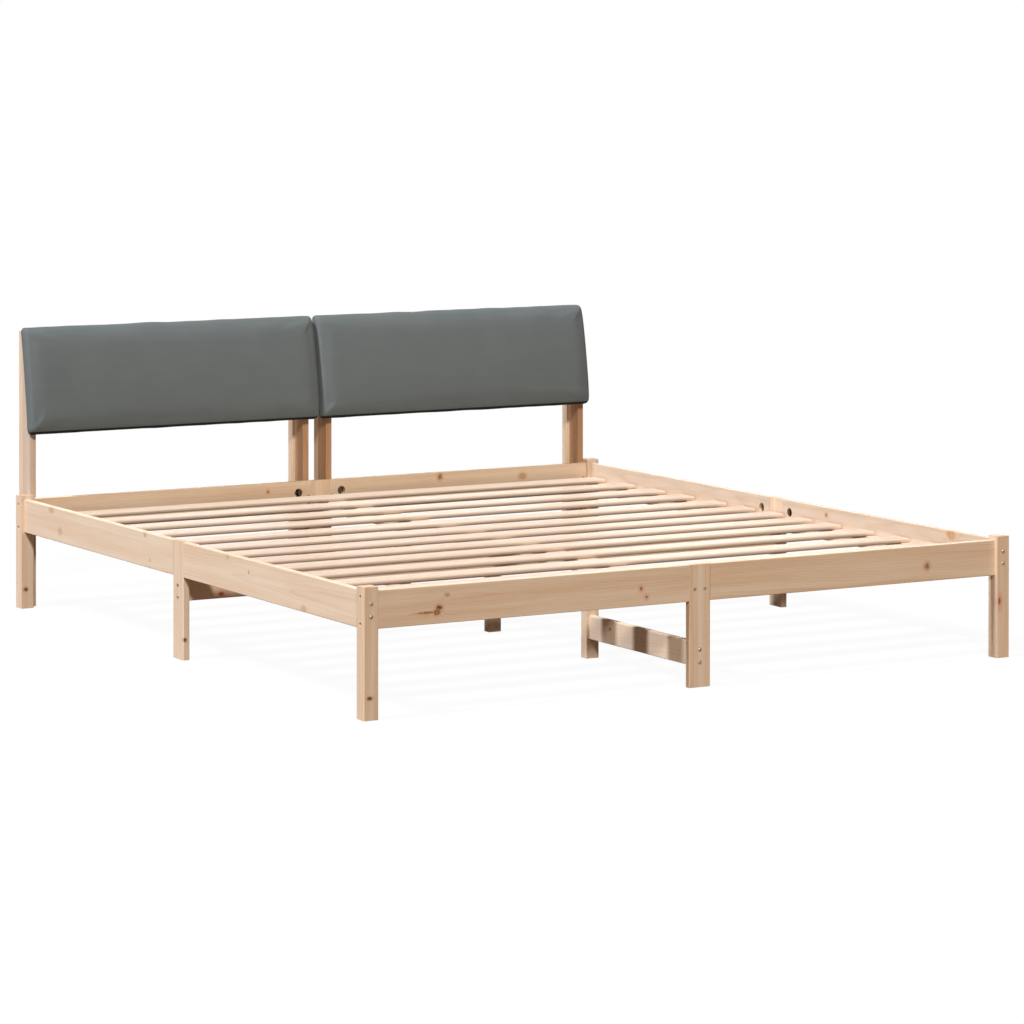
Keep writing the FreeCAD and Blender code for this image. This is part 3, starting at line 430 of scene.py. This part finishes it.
# Threads really stand 0.5 mm apart. They are drawn 1.6 mm apart to show at all.
warp = add(tree, "TexWave", {"Vector": woven.outputs[0], "Scale": 0.2, "Distortion": 0.6,
                             "Detail": 1.0}, bands_direction="X")
weft = add(tree, "TexWave", {"Vector": woven.outputs[0], "Scale": 0.2, "Distortion": 0.6,
                             "Detail": 1.0}, bands_direction="Z")
threads = add(tree, "Math", {0: warp.outputs["Fac"], 1: weft.outputs["Fac"]},
              operation="MULTIPLY")
# Slubs, thicker stretches of thread, run along the pad, over slow clouds 80 mm wide.
drawn = add(tree, "Mapping", {"Vector": woven.outputs[0], "Scale": (0.006, 0.06, 0.06)})
slubs = add(tree, "TexNoise", {"Vector": drawn.outputs[0], "Scale": 1.0, "Detail": 4.0})
soft = add(tree, "TexNoise", {"Vector": woven.outputs[0], "Scale": 0.012, "Detail": 2.0})
mixed = add(tree, "Math", {0: slubs.outputs[0], 1: soft.outputs[0]}, operation="ADD")
level = add(tree, "MapRange", {0: mixed.outputs[0], 1: 0.7, 2: 1.3, 3: 0.0, 4: 1.0})
tint = add(tree, "Mix", {0: level.outputs[0], 6: linear("6b7578"), 7: linear("70797c")},
           data_type="RGBA")
dips = add(tree, "MapRange", {0: threads.outputs[0], 1: 0.0, 2: 1.0, 3: 0.9, 4: 1.04})
tint = add(tree, "VectorMath", {0: tint.outputs[2], 1: dips.outputs[0]}, operation="MULTIPLY")
# The cloth is near-black in the back 10 mm of the pad, over the edge of the board behind the foam,
# which is 10 mm thick. Its underside, up to 5 mm above the pad's lowest line, is painted shade.
leaning = add(tree, "SeparateXYZ", {0: woven.outputs[0]})
back_plane = (pad_foot.y * math.cos(lean) - pad_foot.z * math.sin(lean)) / mm
lower_edge = (pad_foot.y * math.sin(lean) + pad_foot.z * math.cos(lean) - pad_drop) / mm
edge = add(tree, "MapRange", {0: leaning.outputs[1], 1: back_plane - 10, 2: back_plane - 9})
painted_underside_shade = add(tree, "MapRange", {0: leaning.outputs[2], 1: lower_edge + 5.4, 2: lower_edge + 4.8})
dark_band_and_painted_shade = add(tree, "Math", {0: edge.outputs[0], 1: painted_underside_shade.outputs[0]}, operation="MAXIMUM")
# Painted shade: the cloth turns near-black along the pad's underside, and in the band at its back.
tint = add(tree, "Mix", {0: dark_band_and_painted_shade.outputs[0], 6: tint.outputs[0], 7: linear("232324")},
           data_type="RGBA")
relief = add(tree, "Bump", {"Strength": 0.35, "Distance": 0.3 * mm, "Height": threads.outputs[0]})
surface = add(tree, "BsdfPrincipled", {"Base Color": tint.outputs[2], "Roughness": 0.9,
                                       "Specular IOR Level": 0.15, "Sheen Weight": 0.15,
                                       "Sheen Roughness": 0.4,
                                       "Sheen Tint": linear("dcdee0"),
                                       "Normal": relief.outputs[0]})
add(tree, "OutputMaterial", {"Surface": surface.outputs[0]})

for name, side in (("left", -1), ("right", 1)):
    cover = cloth_cover(name, side)
    cover.data.materials.clear()
    cover.data.materials.append(grey_cloth)
    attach(cover, "root")
    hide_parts("cushion_" + name, "back_panel_" + name)


# Backs of the pads. The cloth is folded to the back under a sheet of black non-woven fabric, which
# keeps dust out and hides the raw edges. The sheet stops 13 mm inside the pad, and steel staples
# hold it every 60 mm.

def backing(name, side):
    """Dust sheet and staples of one pad, just in front of the plane where the boards touch."""
    place = pad_place(side)
    wide, high = pad_wide - 26 * mm, pad_high - 26 * mm
    shape = bmesh.new()
    # The sheet is drawn 0.5 mm thick, with corners rounded to 9 mm.
    flat = Matrix.Translation((0, -0.9 * mm, 0)) @ Matrix.Rotation(math.pi / 2, 4, "X")
    bmesh.ops.create_grid(shape, x_segments=1, y_segments=1, size=0.5,
                          matrix=flat @ Matrix.Diagonal((wide, high, 1, 1)))
    bmesh.ops.bevel(shape, geom=shape.verts[:], offset=9 * mm, segments=5, affect="VERTICES",
                    profile=0.5, material=-1)
    raised = bmesh.ops.extrude_face_region(shape, geom=shape.faces[:])["geom"]
    bmesh.ops.translate(shape, vec=(0, 0.5 * mm, 0),
                        verts=[part for part in raised if isinstance(part, bmesh.types.BMVert)])
    bmesh.ops.recalc_face_normals(shape, faces=shape.faces)
    bmesh.ops.transform(shape, matrix=place, verts=shape.verts)
    sheet = piece_of("dust_sheet_" + name, shape)

    # Each staple shows its crown, 11 mm of flat wire, 6 mm inside an edge of the sheet.
    shape = bmesh.new()
    for edge_length, edge_away, upright in ((wide, high / 2, False), (high, wide / 2, True)):
        count = round(edge_length / (60 * mm))
        size = (0.7, 0.5, 11) if upright else (11, 0.5, 0.7)
        for index in range(count):
            along = edge_length * ((index + 0.5) / count - 0.5)
            for way in (-1, 1):
                away = way * (edge_away - 6 * mm)
                x, z = (away, along) if upright else (along, away)
                crown = bmesh.ops.create_cube(shape, size=1)["verts"]
                bmesh.ops.scale(shape, vec=[part * mm for part in size], verts=crown)
                bmesh.ops.translate(shape, vec=(x, -0.3 * mm, z), verts=crown)
    bmesh.ops.bevel(shape, geom=shape.edges[:], offset=0.15 * mm, segments=1, affect="EDGES",
                    profile=0.5, material=-1)
    bmesh.ops.transform(shape, matrix=place, verts=shape.verts)
    return sheet, piece_of("staples_" + name, shape)


# Non-woven polypropylene, pressed from melted fibres: dull black, with dots about 2 mm apart.
nonwoven, tree = blank_material("polypropylene_nonwoven_black")
place = add(tree, "TexCoord", {})
pressed = add(tree, "TexVoronoi", {"Vector": place.outputs["Object"], "Scale": 420.0})
dots = add(tree, "MapRange", {0: pressed.outputs["Distance"], 1: 0.2, 2: 0.5})
fuzz = add(tree, "TexNoise", {"Vector": place.outputs["Object"], "Scale": 260.0, "Detail": 4.0})
shade = add(tree, "Mix", {0: fuzz.outputs[0], 6: linear("1d1d1e"), 7: linear("2f2f31")},
            data_type="RGBA")
relief = add(tree, "Bump", {"Strength": 0.4, "Distance": 0.15 * mm, "Height": dots.outputs[0]})
surface = add(tree, "BsdfPrincipled", {"Base Color": shade.outputs[2], "Roughness": 0.85,
                                       "Normal": relief.outputs[0]})
add(tree, "OutputMaterial", {"Surface": surface.outputs[0]})

# Zinc-plated steel: dull and slightly cloudy, with the warm tone of a yellow passivation. The
# clouds are about a millimetre wide.
steel, tree = blank_material("steel_zinc_plated")
place = add(tree, "TexCoord", {})
cloudy = add(tree, "TexNoise", {"Vector": place.outputs["Object"], "Scale": 900.0, "Detail": 2.0})
tint = add(tree, "Mix", {0: cloudy.outputs[0], 6: linear("857b6c"), 7: linear("a59a88")},
           data_type="RGBA")
rough = add(tree, "MapRange", {0: cloudy.outputs[0], 3: 0.35, 4: 0.5})
surface = add(tree, "BsdfPrincipled", {"Base Color": tint.outputs[2], "Metallic": 1.0,
                                       "Roughness": rough.outputs[0]})
add(tree, "OutputMaterial", {"Surface": surface.outputs[0]})

for name, side in (("left", -1), ("right", 1)):
    sheet, staples = backing(name, side)
    sheet.data.materials.append(nonwoven)
    staples.data.materials.append(steel)
    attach(sheet, "root")
    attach(staples, "root")


# Bolts, studs, nuts and wood screws, all of steel. The bolts have turned button heads with a
# hexagon socket, sunk 6 mm into the side faces of the corner legs. The screws have flat heads with
# a cross recess, let in flush. Studs and nuts keep their solids.

def turned(outline, recess, deep):
    """Mesh of one fastener in mm on its seat: an outline turned round Z, with a recess.

    The outline runs from the rim of the recess to the tip. The recess is a ring of points.
    """
    around = 24
    shape = bmesh.new()
    points = [shape.verts.new((radius, 0, height)) for radius, height in outline]
    edges = [shape.edges.new(pair) for pair in zip(points, points[1:])]
    bmesh.ops.spin(shape, geom=points + edges, cent=(0, 0, 0), axis=(0, 0, 1), angle=2 * math.pi,
                   steps=around, use_merge=True)
    bmesh.ops.remove_doubles(shape, verts=shape.verts, dist=0.001)
    rim = [edge for edge in shape.edges if edge.is_boundary]
    level = Matrix.Translation((0, 0, outline[0][1] - 0.15))
    made = bmesh.ops.create_circle(shape, segments=len(recess), radius=1, matrix=level)["verts"]
    for vertex, reach in zip(made, recess):
        vertex.co.xy *= reach
    lip = [edge for edge in shape.edges if edge.is_wire]
    bmesh.ops.subdivide_edges(shape, edges=lip, cuts=around // len(recess) - 1)
    lip = [edge for edge in shape.edges if edge.is_wire]
    bmesh.ops.bridge_loops(shape, edges=rim + lip)
    sunk = bmesh.ops.extrude_edge_only(shape, edges=lip)["geom"]
    bmesh.ops.translate(shape, vec=(0, 0, -deep),
                        verts=[part for part in sunk if isinstance(part, bmesh.types.BMVert)])
    bmesh.ops.contextual_create(shape, geom=[part for part in sunk
                                             if isinstance(part, bmesh.types.BMEdge)])
    bmesh.ops.recalc_face_normals(shape, faces=shape.faces)
    mesh = bpy.data.meshes.new("one_fastener")
    shape.to_mesh(mesh)
    shape.free()
    return mesh


def fasteners(name, placed):
    """Replaces a node of fasteners. Each has its mesh, its seat and the way it points."""
    shape = bmesh.new()
    for one, seat, direction in placed:
        first = len(shape.verts)
        shape.from_mesh(one)
        turn = Vector((0, 0, -1)).rotation_difference(Vector(direction)).to_matrix().to_4x4()
        bmesh.ops.transform(shape, matrix=Matrix.Translation(Vector(seat) * mm) @ turn
                            @ Matrix.Diagonal((mm, mm, mm, 1)), verts=shape.verts[first:])
    piece = piece_of(name + "_turned", shape)
    piece.data.materials.append(steel)
    piece.data.shade_smooth()
    piece.data.set_sharp_from_angle(angle=math.radians(35))
    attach(piece, "root")
    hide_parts(name)


def screw_outline(length):
    """A flat head 9 mm across and 3 mm high on a 5 mm shank with a drawn-out tip."""
    return ((2.6, 3), (4.1, 2.9), (4.5, 2.5), (4.5, 0), (2.5, 0), (2.5, 10 - length),
            (0, 3 - length))


# A button head 10 mm across and 3 mm high on a 6 mm shank of 58 mm.
bolt = turned(((2.7, 3.0), (3.6, 2.6), (4.4, 1.8), (4.9, 0.8), (5.0, 0.2), (4.9, 0), (3.0, 0),
               (3.0, -56.5), (2.2, -58), (0, -58)), (2.2,) * 6, 1.75)
cross = (2.0, 2.0, 0.75) * 4
beam_screw = turned(screw_outline(65), cross, 1.6)
panel_screw = turned(screw_outline(54.7), cross, 1.6)

# Lines through the middles of the legs, and half the thickness of the square and of the flat ones.
# The bolts of a corner leg's side face are sunk into it.
foot_line, head_line, side_line, bed_middle = -1041, 977, 909, -32
half_square, half_flat = 19, 9
sink, head_high = 6, 3
rail_face, upright_back = head_line - half_flat, 1063
corner, leg, headboard, screws = [], [], [], []
for side in (-1, 1):
    for line, end in ((foot_line, -1), (head_line, 1)):
        for height in (286, 222):
            seat = (side * (side_line + half_square - sink), line, height)
            corner.append((bolt, seat, (-side, 0, 0)))
        for height in (271, 241):
            seat = (side * side_line, line + end * half_square, height)
            corner.append((bolt, seat, (0, -end, 0)))
        seat = (side * 14.4, line + end * (half_flat - head_high), 239)
        screws.append((beam_screw, seat, (0, -end, 0)))
    for height in (159, 190):
        leg.append((bolt, (side * (side_line + half_flat), bed_middle, height), (-side, 0, 0)))
    for post_line in (881, 37):
        for height in (256, 236):
            headboard.append((bolt, (side * post_line, rail_face, height), (0, 1, 0)))
        seat = (side * post_line, upright_back - head_high, 662.3)
        screws.append((panel_screw, seat, (0, -1, 0)))
for line, end in ((foot_line, -1), (head_line, 1)):
    for height in (61, 92):
        leg.append((bolt, (0, line + end * half_flat, height), (0, -end, 0)))
fasteners("corner_bolts", corner)
fasteners("leg_bolts", leg)
fasteners("headboard_bolts", headboard)
fasteners("wood_screws", screws)

# The nuts and studs sit in their holes in a darker steel, which is painted shade of the holes.
shade_dark_steel = steel.copy()
shade_dark_steel.name = "steel_darkened_as_painted_shade"
for node in shade_dark_steel.node_tree.nodes:
    if node.bl_idname == "ShaderNodeMix":
        node.inputs[6].default_value = linear("4a3f35")
        node.inputs[7].default_value = linear("6a5d50")
for name in ("rail_studs", "barrel_nuts"):
    nodes[name].data.materials.clear()
    nodes[name].data.materials.append(shade_dark_steel)


# Floor, light and camera. A studio with a matt floor, which looks white to the camera and in gloss
# but sends back the weak warm light of a wooden one. A broad lamp high on the left is the key, a
# warmer one stands in front, and a weak one low behind on the right.

def whitened(tree):
    """Is 1 for what the camera sees, directly or in gloss and glass."""
    ray = add(tree, "LightPath", {})
    mirrored = add(tree, "Math", {0: ray.outputs["Is Glossy Ray"],
                                  1: ray.outputs["Is Transmission Ray"]}, operation="MAXIMUM")
    seen = add(tree, "Math", {0: ray.outputs["Is Camera Ray"], 1: mirrored.outputs[0]},
               operation="MAXIMUM")
    return seen.outputs[0]


ground = bmesh.new()
bmesh.ops.create_grid(ground, x_segments=1, y_segments=1, size=60)
floor = piece_of("studio_floor", ground)
white, tree = blank_material("floor_matt_white")
paint = add(tree, "BsdfDiffuse", {"Color": linear("6e5645")})
faint = add(tree, "BsdfDiffuse", {"Color": (0.04, 0.04, 0.04, 1.0)})
glow = add(tree, "Emission", {"Color": (1, 1, 1, 1), "Strength": 0.955})
bright = add(tree, "AddShader", {0: faint.outputs[0], 1: glow.outputs[0]})
look = add(tree, "MixShader", {0: whitened(tree), 1: paint.outputs[0], 2: bright.outputs[0]})
add(tree, "OutputMaterial", {"Surface": look.outputs[0]})
floor.data.materials.append(white)

world = bpy.data.worlds.new("studio")
bpy.context.scene.world = world
world.use_nodes = True
tree = world.node_tree
tree.nodes.clear()
air = add(tree, "Background", {"Color": (1, 0.72, 0.54, 1), "Strength": 0.15})
backdrop = add(tree, "Background", {"Color": (1, 1, 1, 1), "Strength": 1.0})
look = add(tree, "MixShader", {0: whitened(tree), 1: air.outputs[0], 2: backdrop.outputs[0]})
add(tree, "OutputWorld", {"Surface": look.outputs[0]})


def softbox(name, towards, energy, angle, colour):
    """A soft lamp far away in one direction."""
    lamp = bpy.data.lights.new(name, "SUN")
    lamp.energy = energy
    lamp.angle = math.radians(angle)
    lamp.color = colour
    box = bpy.data.objects.new(name, lamp)
    bpy.context.scene.collection.objects.link(box)
    box.rotation_euler = Vector(towards).to_track_quat("Z", "Y").to_euler()


softbox("key_softbox", (-0.6, 0, 0.8), 3.05, 6, (0.93, 0.95, 1.0))
softbox("front_softbox", (-0.336, -0.714, 0.614), 2.15, 7, (1.0, 0.93, 0.85))
softbox("rear_softbox", (0.52, 0.83, 0.14), 0.8, 20, (1.0, 0.95, 0.9))

# The camera of the photograph: a long lens about 10 m from the bed and 1.6 m up, shifted down.
lens = bpy.data.cameras.new("camera")
camera = bpy.data.objects.new("camera", lens)
bpy.context.scene.collection.objects.link(camera)
bpy.context.scene.camera = camera
lens.lens = 140.02
lens.sensor_width = 36
lens.sensor_fit = "HORIZONTAL"
lens.shift_x = -0.0196
lens.shift_y = -0.4319
lens.clip_end = 500
camera.matrix_world = (Matrix.Translation((-5.2213, -9.1936, 1.6325))
                       @ Matrix.Rotation(-0.5278, 4, "Z")
                       @ Matrix.Rotation(math.pi / 2 - 0.01356, 4, "X")
                       @ Matrix.Rotation(0.00092, 4, "Z"))

bpy.context.scene.view_settings.view_transform = "Standard"
